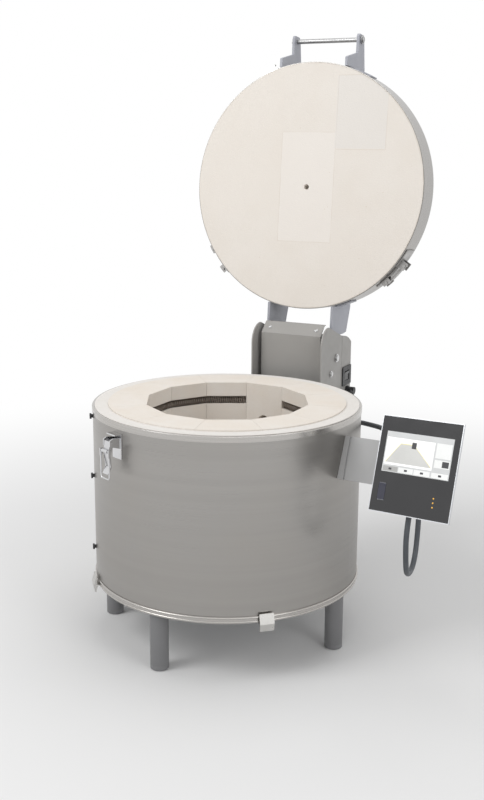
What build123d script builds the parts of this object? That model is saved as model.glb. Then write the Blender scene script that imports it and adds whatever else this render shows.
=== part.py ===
from build123d import *
import math
import os

# Top-loading kiln on four legs, lid standing open, controller on an arm at the right.
# Millimetres. The kiln's own axis is upright, the front is -Y, the hinge is at +Y.

os.makedirs("parts", exist_ok=True)

# Clearances
seat = 0.25             # between pieces that rest on or wrap one another
running = 0.06          # radial, shaft in hole
joint_gap = 0.4         # mortar joint between two wall bricks

# Body
jacket_r = 239.0
sheet = 1.0
rim_r = 240.2
leg_height = 105.6
body_height = 318.4
rim_top = leg_height + body_height
lip_height = 10.0
flange_in_r = 188.0

# Chamber
sides = 12
apothem = 142.0
corner_angle = 12.4
brick_out_r = 212.0
brick_proud = 3.0
chamber_depth = 230.0
plain_side = 2          # the side that carries the thermocouple hole and no coil
coil_drops = (33.0, 103.0, 173.0)
coil_r = 7.0
groove_r = 9.5
groove_mouth = 15.0
coil_in = 9.0
coil_sag = groove_r - coil_r - seat
hole_r = 13.0
hole_drop = 70.0

# Lid, given closed: height above the rim and distance behind the kiln axis
lid_r = 240.4
band_r = 242.2
band_t = 1.2
lid_t = 62.0
lid_gap = 0.4
vent_r = 5.25
hinge_y = 338.0
hinge_up = 26.8
open_angle = 95.3

# Hinge unit
arm_x = 69.0
arm_t = 5.0
plate_x = 74.5
plate_t = 2.5
shaft_r = 6.0
hub_r = 24.0
rod_y = 309.0
rod_up = -1.0
rod_r = 4.0
cover_half = 64.0
cover_y = 280.0
cover_up = 78.0
cover_back_y = 302.0
cover_back_up = 98.0
unit_bottom = -190.0
box_front = 371.0
box_back = 424.0

# Handle
handle_reach = 300.5
handle_up = 72.0
handle_r = 4.6

# Latch on the jacket, its keeper on the lid
latch_angle = -112.5
pivot_out = 257.0
pivot_drop = 30.0
bail_drop = 43.0

# Controller: a panel leaning back and turned to the front
panel_w = 143.0
panel_h = 155.7
panel_t = 4.0
panel_at = (382.0, -102.0, -43.5)
panel_turn = -12.9
panel_lean = 19.4
panel_roll = 2.85
arm_half = 36.5
arm_front = 30.0
arm_back = 58.0
cable_r = 4.5

# The frame stands on the floor, under the middle of the whole part
frame_x = 106.2
frame_y = 108.0
FRAME = Location((-frame_x, -frame_y, 0))

inner_face = rim_top + brick_proud + lid_gap
lid_base = inner_face - rim_top
hinge_z = rim_top + hinge_up
HINGE = Axis((0, hinge_y, hinge_z), (1, 0, 0))


def keep(part, label):
    placed = part.moved(FRAME)
    placed.label = label
    export_step(placed, "parts/" + label + ".step")


def keep_open(part, label):
    keep(part.rotate(HINGE, -open_angle), label)


def ring_points(radius, degrees):
    turn = math.radians(degrees)
    return (radius * math.cos(turn), radius * math.sin(turn))


def arc_band(r_in, r_out, start, end):
    """Sketch piece between two radii and two angles, in the active sketch."""
    middle = (start + end) / 2
    with BuildLine() as outline:
        ThreePointArc(ring_points(r_in, start), ring_points(r_in, middle), ring_points(r_in, end))
        Line(ring_points(r_in, end), ring_points(r_out, end))
        ThreePointArc(ring_points(r_out, end), ring_points(r_out, middle), ring_points(r_out, start))
        Line(ring_points(r_out, start), ring_points(r_in, start))
    make_face(outline.edges())


# Body shell

with BuildPart() as jacket:
    with BuildSketch(Plane.XY.offset(leg_height + 2.2)):
        Circle(jacket_r)
        Circle(jacket_r - sheet, mode=Mode.SUBTRACT)
    extrude(amount=body_height - 2.2 - 1.6)
keep(jacket.part, "jacket")

with BuildPart() as top_rim:
    with BuildSketch(Plane.XZ):
        with BuildLine():
            Polyline(
                (jacket_r + seat, rim_top - lip_height),
                (rim_r, rim_top - lip_height),
                (rim_r, rim_top - 1.2),
                (rim_r - 1.2, rim_top),
                (rim_r - 4.5, rim_top),
                (rim_r - 4.5, rim_top - 1.2),
                (jacket_r + seat, rim_top - 1.2),
                close=True,
            )
        make_face()
    revolve(axis=Axis.Z)
keep(top_rim.part, "top_rim")

with BuildPart() as bottom_rim:
    with BuildSketch(Plane.XZ):
        with BuildLine():
            Polyline(
                (flange_in_r, leg_height),
                (rim_r, leg_height),
                (rim_r, leg_height + 11.6),
                (jacket_r + seat, leg_height + 11.6),
                (jacket_r + seat, leg_height + 1.4),
                (flange_in_r, leg_height + 1.4),
                close=True,
            )
        make_face()
        with Locations((rim_r - 0.4, leg_height + 2.4), (rim_r - 0.4, leg_height + 9.2)):
            Circle(1.5)
        with Locations((jacket_r - 1.2, leg_height + 6)):
            Rectangle(2 * (1.2 + seat), 9.4, mode=Mode.SUBTRACT)
    revolve(axis=Axis.Z)
keep(bottom_rim.part, "bottom_rim")

pan_z = leg_height + 1.4 + seat
with BuildPart() as floor_pan:
    with BuildSketch(Plane.XY.offset(pan_z)):
        Circle(jacket_r - sheet - seat)
    extrude(amount=1.2)
keep(floor_pan.part, "floor_pan")

brick_bottom = rim_top + brick_proud - chamber_depth
board_z = pan_z + 1.2 + seat
board_top = brick_bottom - 64.8
with BuildPart() as floor_board:
    with BuildSketch(Plane.XY.offset(board_z)):
        Circle(jacket_r - sheet - seat)
    extrude(amount=board_top - board_z)
keep(floor_board.part, "floor_board")

with BuildPart() as floor_brick:
    with BuildSketch(Plane.XY.offset(board_top + seat)):
        Circle(brick_out_r)
    extrude(amount=brick_bottom - seat - board_top - seat)
keep(floor_brick.part, "floor_brick")

back_angle = corner_angle + 30 * plain_side + 15
with BuildPart() as insulation_ring:
    with BuildSketch(Plane.XZ):
        with BuildLine():
            Polyline(
                (brick_out_r + seat, board_top + seat),
                (jacket_r - sheet - seat, board_top + seat),
                (jacket_r - sheet - seat, rim_top - 2.0),
                (rim_r - 4.5 - seat, rim_top - 2.0),
                (rim_r - 4.5 - seat, rim_top + 0.8),
                (brick_out_r + seat, rim_top + 0.8),
                close=True,
            )
        make_face()
    revolve(axis=Axis.Z)
    probe_plane = Plane(
        origin=(0, 0, rim_top - hole_drop),
        x_dir=(-math.sin(math.radians(back_angle)), math.cos(math.radians(back_angle)), 0),
        z_dir=(math.cos(math.radians(back_angle)), math.sin(math.radians(back_angle)), 0),
    )
    with BuildSketch(probe_plane.offset(brick_out_r - 10)):
        Circle(hole_r)
    extrude(amount=40, mode=Mode.SUBTRACT)
keep(insulation_ring.part, "insulation_ring")

# Wall bricks: twelve staves, a coil groove in all but the plain one

brick_height = chamber_depth
for k in range(sides):
    first = corner_angle + 30 * k
    middle = first + 15
    step_in = math.degrees(joint_gap / 2 / (apothem / math.cos(math.radians(15))))
    step_out = math.degrees(joint_gap / 2 / brick_out_r)
    in_r = apothem / math.cos(math.radians(15))
    chord = Plane(
        origin=(0, 0, 0),
        x_dir=(-math.sin(math.radians(middle)), math.cos(math.radians(middle)), 0),
        z_dir=(math.cos(math.radians(middle)), math.sin(math.radians(middle)), 0),
    )
    with BuildPart() as brick:
        with BuildSketch(Plane.XY.offset(brick_bottom)):
            with BuildLine():
                Line(ring_points(in_r, first + 30 - step_in), ring_points(in_r, first + step_in))
                Line(ring_points(in_r, first + step_in), ring_points(brick_out_r, first + step_out))
                ThreePointArc(
                    ring_points(brick_out_r, first + step_out),
                    ring_points(brick_out_r, middle),
                    ring_points(brick_out_r, first + 30 - step_out),
                )
                Line(ring_points(brick_out_r, first + 30 - step_out), ring_points(in_r, first + 30 - step_in))
            make_face()
        extrude(amount=brick_height)
        if k == plain_side:
            with BuildSketch(chord.offset(apothem - 10)):
                with Locations((0, rim_top - hole_drop)):
                    Circle(hole_r)
            extrude(amount=brick_out_r, mode=Mode.SUBTRACT)
        else:
            for drop in coil_drops:
                along = Plane(
                    origin=(0, 0, rim_top - drop + coil_sag),
                    x_dir=(math.cos(math.radians(middle)), math.sin(math.radians(middle)), 0),
                    z_dir=(-math.sin(math.radians(middle)), math.cos(math.radians(middle)), 0),
                )
                with BuildSketch(along):
                    with Locations((apothem + coil_in, 0)):
                        Circle(groove_r)
                    with Locations((apothem, 0)):
                        Rectangle(2 * coil_in, groove_mouth)
                extrude(amount=60, both=True, mode=Mode.SUBTRACT)
    keep(brick.part, "wall_brick_%02d" % (k + 1))

coil_corner = (apothem + coil_in) / math.cos(math.radians(15))
for n, drop in enumerate(coil_drops):
    points = []
    for k in range(plain_side + 1, plain_side + 1 + sides):
        x, y = ring_points(coil_corner, corner_angle + 30 * k)
        points.append(Vector(x, y, rim_top - drop))
    points[0] = points[0] + (points[1] - points[0]).normalized() * 5
    points[-1] = points[-1] + (points[-2] - points[-1]).normalized() * 5
    with BuildPart() as coil:
        with BuildLine() as coil_path:
            FilletPolyline(*points, radius=30)
        with BuildSketch(Plane(origin=coil_path.line @ 0, z_dir=coil_path.line % 0)):
            Circle(coil_r)
        sweep()
    keep(coil.part, "heating_coil_%d" % (n + 1))

with BuildPart() as thermocouple:
    with BuildSketch(probe_plane.offset(apothem + 6)):
        Circle(4)
    extrude(amount=60)
    with BuildSketch(probe_plane.offset(apothem + 40)):
        Circle(hole_r - seat)
    extrude(amount=30)
keep(thermocouple.part, "thermocouple")

# Legs, their caps, clips on the bottom rim, knobs on the seam

leg_at = {"leg_front": -95.0, "leg_right": -2.0, "leg_left": -165.0, "leg_back": 80.0}
leg_ring = 217.0
leg_r = 16.0
cap_h = 8.5
for name, angle in leg_at.items():
    x, y = ring_points(leg_ring, angle)
    with BuildPart() as leg:
        with BuildSketch(Plane.XY.offset(cap_h + 0.1)):
            with Locations((x, y)):
                Circle(leg_r)
        extrude(amount=leg_height - 0.1 - cap_h - 0.1)
        with BuildSketch(Plane.XY.offset(cap_h + 0.1)):
            with Locations((x, y)):
                Circle(leg_r - 2)
        extrude(amount=leg_height - cap_h - 4, mode=Mode.SUBTRACT)
    keep(leg.part, name)

with BuildPart() as foot_caps:
    for angle in leg_at.values():
        x, y = ring_points(leg_ring, angle)
        with BuildSketch(Plane.XY):
            with Locations((x, y)):
                Circle(leg_r - 1.5)
        extrude(amount=1.5)
        with BuildSketch(Plane.XY.offset(1.5)):
            with Locations((x, y)):
                Circle(leg_r)
        extrude(amount=cap_h - 1.5)
        with BuildSketch(Plane.XY.offset(cap_h)):
            with Locations((x, y)):
                Circle(leg_r - 2.2)
        extrude(amount=12)
keep(foot_caps.part, "foot_caps")

clip_w = 25.0
clip_top = leg_height + 16.0
clip_low = leg_height - 13.5
with BuildPart() as bottom_clips:
    for angle in (-47.6, 42.4, 132.4, -137.6):
        face = Plane(
            origin=(0, 0, 0),
            x_dir=(math.cos(math.radians(angle)), math.sin(math.radians(angle)), 0),
            z_dir=(math.sin(math.radians(angle)), -math.cos(math.radians(angle)), 0),
        )
        with BuildSketch(face):
            with BuildLine():
                Polyline(
                    (196, leg_height - seat),
                    (196, leg_height - seat - 2),
                    (242.3, leg_height - seat - 2),
                    (245.0, clip_low),
                    (247.0, clip_low),
                    (249.0, leg_height - 1),
                    (244.4, clip_top),
                    (242.6, clip_top),
                    (246.2, leg_height - seat),
                    close=True,
                )
            make_face()
        extrude(amount=clip_w / 2, both=True)
keep(bottom_clips.part, "bottom_clips")

knob_angle = -142.0
with BuildPart() as seam_knobs:
    for drop, stand in ((15.5, jacket_r), (124.0, jacket_r), (257.0, jacket_r)):
        side = Plane(
            origin=(0, 0, rim_top - drop),
            x_dir=(-math.sin(math.radians(knob_angle)), math.cos(math.radians(knob_angle)), 0),
            z_dir=(math.cos(math.radians(knob_angle)), math.sin(math.radians(knob_angle)), 0),
        )
        with BuildSketch(side.offset(stand + 0.1)):
            Circle(3.2)
        extrude(amount=3)
        with BuildSketch(side.offset(stand + 3)):
            RegularPolygon(5.2, 6)
        extrude(amount=3.2)
keep(seam_knobs.part, "seam_knobs")

# Lid, modelled closed and then turned open about the hinge

with BuildPart() as lid_brick:
    with BuildSketch(Plane.XY.offset(inner_face)):
        Circle(lid_r)
        Circle(vent_r, mode=Mode.SUBTRACT)
    extrude(amount=lid_t - 1.6)
    chamfer(lid_brick.edges().filter_by(GeomType.CIRCLE).sort_by(Axis.Z)[1:2], 0.8)
keep_open(lid_brick.part, "lid_brick")

with BuildPart() as lid_band:
    with BuildSketch(Plane.XZ):
        with BuildLine():
            Polyline(
                (lid_r + seat, inner_face + 1.5),
                (band_r, inner_face + 1.5),
                (band_r, inner_face + lid_t),
                (band_r - 6, inner_face + lid_t),
                (band_r - 6, inner_face + lid_t - 1.2),
                (lid_r + seat, inner_face + lid_t - 1.2),
                close=True,
            )
        make_face()
    revolve(axis=Axis.Z)
keep_open(lid_band.part, "lid_band")

with BuildPart() as lid_cover:
    with BuildSketch(Plane.XY.offset(inner_face + lid_t - 1.6 + 0.1)):
        Circle(band_r - 6 - seat)
        Circle(vent_r + 4, mode=Mode.SUBTRACT)
    extrude(amount=1.3)
keep_open(lid_cover.part, "lid_cover")

# Arms: plates that hook over both edges of the lid and carry the handle.
# Profile points are (distance in front of the kiln axis, height above the lid's inner face).

rest_front = math.sqrt((band_r + seat) ** 2 - (arm_x - arm_t / 2) ** 2) + 0.3
web_up = lid_t + seat
strap_in = band_r + seat
strap_out = strap_in + 2.6
strap_low = 16.0
strap_high = 48.0
hub_up = hinge_up - lid_base
for side, name in ((-1, "arm_left"), (1, "arm_right")):
    inner = side * arm_x - arm_t / 2
    with BuildPart() as arm:
        with BuildSketch(Plane(origin=(inner, 0, inner_face), x_dir=(0, -1, 0), z_dir=(-1, 0, 0))):
            with BuildLine():
                Polyline(
                    (rest_front, web_up),
                    (rest_front, 1.5),
                    (249.5, 1.5),
                    (251.0, 3.5),
                    (266.5, 58.0),
                    (handle_reach - 2, 57.5),
                    (handle_reach + 3, 61.0),
                    (handle_reach + 3, 82.0),
                    (handle_reach - 1, 87.0),
                    (238.0, 100.0),
                    (-238.0, 100.0),
                    (-288.0, 84.0),
                    (-291.0, 70.0),
                    (-292.4, 47.0),
                    (-hinge_y + hub_r * 0.9, hub_up + hub_r * 0.436),
                    (-hinge_y + hub_r * 0.6, hub_up - hub_r * 0.8),
                    (-296.0, 2.0),
                    (-rest_front, 1.5),
                    (-rest_front, web_up),
                    close=True,
                )
            make_face()
            with Locations((-hinge_y, hub_up)):
                Circle(hub_r)
            with Locations((-hinge_y - 22, hub_up + 5)):
                Rectangle(14, 20)
            with Locations((-hinge_y, hub_up)):
                Circle(shaft_r + running, mode=Mode.SUBTRACT)
            with Locations((handle_reach - 7, handle_up)):
                Circle(3.1, mode=Mode.SUBTRACT)
        extrude(amount=-arm_t)
        for end in (90, -90):
            start = math.copysign(math.degrees(math.acos(side * arm_x / strap_in)), end)
            with BuildSketch(Plane.XY.offset(inner_face + strap_low)):
                reach = 8.5 if end > 0 else 12.0 if side > 0 else 1.0
                away = -1 if (side > 0) == (end > 0) else 1
                arc_band(strap_in, strap_out, start, start + away * reach)
            extrude(amount=strap_high - strap_low)
    keep_open(arm.part, name)

# Handle bar with a head at each end

bar_plane = Plane(
    origin=(0, -(handle_reach - 7), inner_face + handle_up),
    x_dir=(0, 1, 0),
    z_dir=(1, 0, 0),
)
bar_half = arm_x - arm_t / 2 - 0.15
with BuildPart() as handle_bar:
    with BuildSketch(bar_plane.offset(-bar_half)):
        Circle(handle_r)
    extrude(amount=2 * bar_half)
    for side in (-1, 1):
        with BuildSketch(bar_plane.offset(side * bar_half)):
            Circle(3.0)
        extrude(amount=side * (arm_t + 0.5))
        with BuildSketch(bar_plane.offset(side * (bar_half + arm_t + 0.3))):
            Circle(8.5)
        extrude(amount=side * 3)
        with BuildSketch(bar_plane.offset(side * (bar_half + arm_t + 3.3))):
            Circle(5.5)
        extrude(amount=side * 2)
keep_open(handle_bar.part, "handle_bar")

# Toggle clamps that tighten the band round the lid

clamp_r = band_r + seat


def clamp(centre, flip):
    """Clamp at a lid angle, its screw end turned by flip. Angles as seen in plan, closed."""
    with BuildPart() as made:
        with BuildSketch(Plane.XY.offset(inner_face + 8)):
            arc_band(clamp_r, clamp_r + 2, centre + flip * 2, centre + flip * 11)
        extrude(amount=46)
        with BuildSketch(Plane.XY.offset(inner_face + 20)):
            arc_band(clamp_r, clamp_r + 2, centre - flip * 12, centre + flip * 2.2)
        extrude(amount=22)
        for up in (18, 38):
            with BuildSketch(Plane.XY.offset(inner_face + up)):
                arc_band(clamp_r + 1, clamp_r + 15, centre + flip * 2, centre + flip * 5.5)
                arc_band(clamp_r + 1, clamp_r + 11, centre - flip * 9, centre - flip * 5)
            extrude(amount=3)
        for turn, out, half in ((centre + flip * 4, 11, 16), (centre - flip * 7, 7.5, 16)):
            x, y = ring_points(clamp_r + out, turn)
            with BuildSketch(Plane.XY.offset(inner_face + 31 - half)):
                with Locations((x, y)):
                    Circle(2.6)
            extrude(amount=2 * half)
        with BuildSketch(Plane.XY.offset(inner_face + 24)):
            arc_band(clamp_r + 6.0, clamp_r + 9.5, centre - flip * 7.4, centre + flip * 4.4)
        extrude(amount=14)
    return made.part


clamp_right_angle = 39.0
clamp_left_angle = 141.0
keep_open(clamp(clamp_right_angle, -1), "band_clamp_right")
keep_open(clamp(clamp_left_angle, -1), "band_clamp_left")

# Keeper on the lid for the latch

with BuildPart() as latch_keeper:
    with BuildSketch(Plane.XY.offset(inner_face + 4)):
        arc_band(clamp_r, clamp_r + 2, latch_angle - 4.4, latch_angle + 4.2)
    extrude(amount=34)
    with BuildSketch(Plane.XY.offset(inner_face + 9)):
        arc_band(clamp_r + 1, clamp_r + 13, latch_angle - 2.6, latch_angle + 2.6)
    extrude(amount=2.2)
    with BuildSketch(Plane.XY.offset(inner_face + 9)):
        arc_band(clamp_r + 11, clamp_r + 13, latch_angle - 2.6, latch_angle + 2.6)
    extrude(amount=8)
keep_open(latch_keeper.part, "latch_keeper")

# Hinge unit: two side plates with flanges that follow the jacket

flange_r = jacket_r + seat
for side, name in ((-1, "hinge_plate_left"), (1, "hinge_plate_right")):
    outer = side * plate_x - plate_t / 2
    low_y = math.sqrt(flange_r ** 2 - (plate_x - plate_t / 2) ** 2) + 0.4
    start = math.degrees(math.acos(side * (plate_x - plate_t / 2) / flange_r))
    with BuildPart() as plate:
        with BuildSketch(Plane(origin=(outer, 0, rim_top), x_dir=(0, 1, 0), z_dir=(1, 0, 0))):
            with BuildLine():
                Polyline((257.5, -14.0), (low_y, -14.0), (low_y, unit_bottom), (350, unit_bottom))
                Polyline((350, unit_bottom), (box_front - 1, unit_bottom), (box_front - 1, 67))
                Line((box_front - 1, 67), (297, 95))
                ThreePointArc((297, 95), (270, 86.5), (257.5, 62))
                Line((257.5, 62), (257.5, -14.0))
            make_face()
            with Locations((hinge_y, hinge_up)):
                Circle(shaft_r + running, mode=Mode.SUBTRACT)
            with Locations((rod_y, rod_up)):
                Circle(rod_r + running, mode=Mode.SUBTRACT)
        extrude(amount=plate_t)
        with BuildSketch(Plane.XY.offset(rim_top + unit_bottom)):
            arc_band(flange_r, flange_r + 2.5, start, start - side * 8)
        extrude(amount=-14.0 - unit_bottom)
    keep(plate.part, name)

inner_plate = plate_x - plate_t / 2
with BuildPart() as hinge_cover:
    with BuildSketch(Plane(origin=(-cover_half, 0, rim_top), x_dir=(0, 1, 0), z_dir=(1, 0, 0))):
        with BuildLine():
            Polyline(
                (cover_y, -120),
                (cover_y, cover_up),
                (cover_back_y, cover_back_up),
                (cover_back_y + 6, cover_back_up),
                (cover_back_y + 6, cover_back_up - 1.5),
                (cover_back_y + 0.6, cover_back_up - 1.5),
                (cover_y + 1.5, cover_up - 0.7),
                (cover_y + 1.5, -120),
                close=True,
            )
        make_face()
    extrude(amount=2 * cover_half)
    for side in (-1, 1):
        with BuildSketch(Plane.XY.offset(rim_top - 118)):
            with Locations((side * (inner_plate + cover_half - 1) / 2, cover_y + 2.75)):
                Rectangle(inner_plate - cover_half + 1 - 2 * 0.2, 3)
        extrude(amount=60)
        with BuildSketch(Plane.XY.offset(rim_top - 118)):
            with Locations((side * (inner_plate - 0.95), cover_y + 12)):
                Rectangle(1.5, 21)
        extrude(amount=60)
keep(hinge_cover.part, "hinge_cover")

shaft_plane = Plane(origin=(0, hinge_y, hinge_z), x_dir=(0, 1, 0), z_dir=(1, 0, 0))
plate_out = plate_x + plate_t / 2
with BuildPart() as hinge_shaft:
    with BuildSketch(shaft_plane.offset(-plate_out - 0.2)):
        Circle(shaft_r)
    extrude(amount=2 * plate_out + 0.4)
    for side in (-1, 1):
        with BuildSketch(shaft_plane.offset(side * (plate_out + 0.15))):
            Circle(8.5)
        extrude(amount=side * 2.5)
        with BuildSketch(shaft_plane.offset(side * (plate_out + 2.65))):
            Circle(6.2)
        extrude(amount=side * 2)
keep(hinge_shaft.part, "hinge_shaft")

rod_plane = Plane(origin=(0, rod_y, rim_top + rod_up), x_dir=(0, 1, 0), z_dir=(1, 0, 0))
with BuildPart() as stop_rod:
    with BuildSketch(rod_plane.offset(-plate_out - 0.2)):
        Circle(rod_r)
    extrude(amount=2 * plate_out + 0.4)
    for side in (-1, 1):
        with BuildSketch(rod_plane.offset(side * (plate_out + 0.15))):
            Circle(6.6)
        extrude(amount=side * 2)
        with BuildSketch(rod_plane.offset(side * (plate_out + 2.15))):
            Circle(4.6)
        extrude(amount=side * 2)
keep(stop_rod.part, "stop_rod")

# Electrical box behind the hinge, with the mains switch and the cable's gland on its right

switch_y = 398.0
switch_up = -20.0
gland_y = 402.0
gland_up = -52.0
with BuildPart() as rear_box:
    with BuildSketch(Plane(origin=(-plate_out, 0, rim_top), x_dir=(0, 1, 0), z_dir=(1, 0, 0))):
        with BuildLine():
            Polyline((box_front, 66), (box_front, unit_bottom), (box_back, unit_bottom), (box_back, 47))
            ThreePointArc((box_back, 47), (402, 60.5), (box_front, 66))
        make_face()
    extrude(amount=2 * plate_out)
    with BuildSketch(Plane(origin=(-plate_out + 1.5, 0, rim_top), x_dir=(0, 1, 0), z_dir=(1, 0, 0))):
        with BuildLine():
            Polyline((box_front - 1, 60), (box_front - 1, unit_bottom + 2), (box_back - 1.5, unit_bottom + 2))
            Line((box_back - 1.5, unit_bottom + 2), (box_back - 1.5, 45))
            ThreePointArc((box_back - 1.5, 45), (402, 58), (box_front - 1, 60))
        make_face()
    extrude(amount=2 * plate_out - 3, mode=Mode.SUBTRACT)
    right = Plane(origin=(plate_out, 0, rim_top), x_dir=(0, 1, 0), z_dir=(1, 0, 0))
    with BuildSketch(right.offset(-5)):
        with Locations((switch_y, switch_up)):
            Rectangle(31, 26)
        with Locations((gland_y, gland_up)):
            Circle(6.6)
    extrude(amount=10, mode=Mode.SUBTRACT)
    with BuildSketch(Plane(origin=(0, box_back - 5, rim_top - 130), x_dir=(1, 0, 0), z_dir=(0, 1, 0))):
        Rectangle(49, 27)
    extrude(amount=10, mode=Mode.SUBTRACT)
    for side in (-1, 1):
        with BuildSketch(Plane.XY.offset(rim_top - 150)):
            with Locations((side * (plate_out - plate_t - 1.2), box_front - 8)):
                Rectangle(1.4, 20)
            with Locations((side * (plate_out - 2.2), box_front + 1.2)):
                Rectangle(4, 2)
        extrude(amount=120)
keep(rear_box.part, "rear_box")

with BuildPart() as switch_frame:
    with BuildSketch(right.offset(0.1)):
        with Locations((switch_y, switch_up)):
            RectangleRounded(47, 40, 2.5)
            Rectangle(25, 20, mode=Mode.SUBTRACT)
    extrude(amount=2.4)
    with BuildSketch(right.offset(-14)):
        with Locations((switch_y, switch_up)):
            Rectangle(30.4, 25.4)
            Rectangle(25, 20, mode=Mode.SUBTRACT)
    extrude(amount=14.2)
    with BuildSketch(right.offset(-15.5)):
        with Locations((switch_y, switch_up)):
            Rectangle(30.4, 25.4)
    extrude(amount=1.6)
keep(switch_frame.part, "switch_frame")

rocker_in = 3.5
rocker_tilt = 7.0       # the lower half is pressed in, which is off
ROCKER = Axis((plate_out - 1.5, switch_y, rim_top + switch_up), (0, 1, 0))
with BuildPart() as switch_rocker:
    with BuildSketch(Plane(origin=(plate_out, switch_y, rim_top + switch_up), x_dir=(1, 0, 0), z_dir=(0, 1, 0))):
        with BuildLine():
            Polyline((-rocker_in, 7.6), (2.6, 9.0), (1.4, 0), (2.2, -9.0), (-rocker_in, -7.6))
            ThreePointArc((-rocker_in, -7.6), (-10.5, 0), (-rocker_in, 7.6))
        make_face()
    extrude(amount=12.0, both=True)
keep(switch_rocker.part.rotate(ROCKER, rocker_tilt), "switch_rocker")

gland_plane = Plane(origin=(plate_out, gland_y, rim_top + gland_up), x_dir=(0, 1, 0), z_dir=(1, 0, 0))
outlet_dir = Vector(0.25, -0.85, -0.46).normalized()
outlet_plane = Plane(origin=gland_plane.from_local_coords((0, 0, 10.5)), x_dir=(1, 0.294, 0), z_dir=outlet_dir)
with BuildPart() as cable_gland:
    with BuildSketch(gland_plane.offset(-8)):
        Circle(6.4)
    extrude(amount=8.2)
    with BuildSketch(gland_plane.offset(0.1)):
        RegularPolygon(9.5, 6)
    extrude(amount=4)
    with BuildSketch(gland_plane.offset(4.1)):
        Circle(7.5)
    extrude(amount=14)
    with BuildSketch(outlet_plane):
        Circle(6.2)
    extrude(amount=12)
    with BuildSketch(outlet_plane.offset(10)):
        Circle(7.6)
    extrude(amount=6)
keep(cable_gland.part, "cable_gland")

with BuildPart() as mains_inlet:
    with BuildSketch(Plane(origin=(0, box_back + 0.1, rim_top - 130), x_dir=(1, 0, 0), z_dir=(0, 1, 0))):
        RectangleRounded(60, 36, 4)
        Rectangle(38, 18, mode=Mode.SUBTRACT)
    extrude(amount=3)
    with BuildSketch(Plane(origin=(0, box_back - 16, rim_top - 130), x_dir=(1, 0, 0), z_dir=(0, 1, 0))):
        Rectangle(48, 26)
        Rectangle(38, 18, mode=Mode.SUBTRACT)
    extrude(amount=16.2)
    with BuildSketch(Plane(origin=(0, box_back - 18, rim_top - 130), x_dir=(1, 0, 0), z_dir=(0, 1, 0))):
        Rectangle(48, 26)
    extrude(amount=2.1)
    with BuildSketch(Plane(origin=(0, box_back - 16.2, rim_top - 130), x_dir=(1, 0, 0), z_dir=(0, 1, 0))):
        with Locations((-10, 0), (0, 2.5), (10, 0)):
            Rectangle(2, 7)
    extrude(amount=13)
keep(mains_inlet.part, "mains_inlet")

# Toggle latch on the jacket: bracket, lever, bail

turn = math.radians(latch_angle)
radial = (math.cos(turn), math.sin(turn), 0)
across = (math.sin(turn), -math.cos(turn), 0)
latch_side = Plane(origin=(0, 0, rim_top), x_dir=radial, z_dir=across)
bail_x = pivot_out + 8.2
bail_pin = bail_x - 0.4
pin_r = 1.2

with BuildPart() as latch_base:
    with BuildSketch(Plane.XY.offset(rim_top - 60)):
        arc_band(jacket_r + seat, jacket_r + 2.2, latch_angle - 3.0, latch_angle + 3.0)
    extrude(amount=44)
    with BuildSketch(latch_side.offset(-10)):
        with BuildLine():
            Polyline(
                (jacket_r + 1.0, -24),
                (jacket_r + 1.0, -42),
                (pivot_out + 4.5, -35),
                (pivot_out + 4.5, -25),
                (pivot_out - 2, -22),
                close=True,
            )
        make_face()
        with Locations((pivot_out, -pivot_drop)):
            Circle(1.5 + running, mode=Mode.SUBTRACT)
    extrude(amount=2)
    with BuildSketch(latch_side.offset(8)):
        with BuildLine():
            Polyline(
                (jacket_r + 1.0, -24),
                (jacket_r + 1.0, -42),
                (pivot_out + 4.5, -35),
                (pivot_out + 4.5, -25),
                (pivot_out - 2, -22),
                close=True,
            )
        make_face()
        with Locations((pivot_out, -pivot_drop)):
            Circle(1.5 + running, mode=Mode.SUBTRACT)
    extrude(amount=2)
    with BuildSketch(latch_side.offset(-12)):
        with BuildLine():
            Polyline(
                (jacket_r + 1.2, -16),
                (jacket_r + 1.2, -18),
                (pivot_out - 4, -18),
                (pivot_out - 4, -16),
                close=True,
            )
        make_face()
    extrude(amount=24)
keep(latch_base.part, "latch_base")

with BuildPart() as latch_lever:
    with BuildSketch(latch_side.offset(-7.6)):
        with BuildLine():
            Polyline(
                (pivot_out - 3.5, -26.5),
                (pivot_out + 3.5, -26.5),
                (pivot_out + 5.5, -48),
                (pivot_out + 2.5, -70),
                (pivot_out + 8.5, -82),
                (pivot_out + 6.5, -83),
                (pivot_out + 0.3, -71),
                (pivot_out + 1.8, -50),
                (pivot_out - 3.5, -36),
                close=True,
            )
        make_face()
    extrude(amount=15.2)
    with BuildSketch(latch_side.offset(-5.6)):
        with Locations((pivot_out - 4, -36)):
            Rectangle(9, 34)
    extrude(amount=11.2, mode=Mode.SUBTRACT)
    with BuildSketch(latch_side.offset(-10.6)):
        with Locations((pivot_out, -pivot_drop)):
            Circle(1.5)
    extrude(amount=21.2)
    with BuildSketch(latch_side.offset(-7.6)):
        with Locations((bail_pin, -bail_drop)):
            Circle(2.8)
        with Locations(((pivot_out + 4.0 + bail_pin) / 2, -bail_drop - 0.5)):
            Rectangle(bail_pin - pivot_out - 4.0, 4.6)
        with Locations((bail_pin, -bail_drop)):
            Circle(pin_r + running, mode=Mode.SUBTRACT)
    extrude(amount=15.2)
    with BuildSketch(latch_side.offset(-7.7)):
        with Locations((bail_pin, -bail_drop)):
            Circle(pin_r + running)
    extrude(amount=15.4, mode=Mode.SUBTRACT)
keep(latch_lever.part, "latch_lever")

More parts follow.
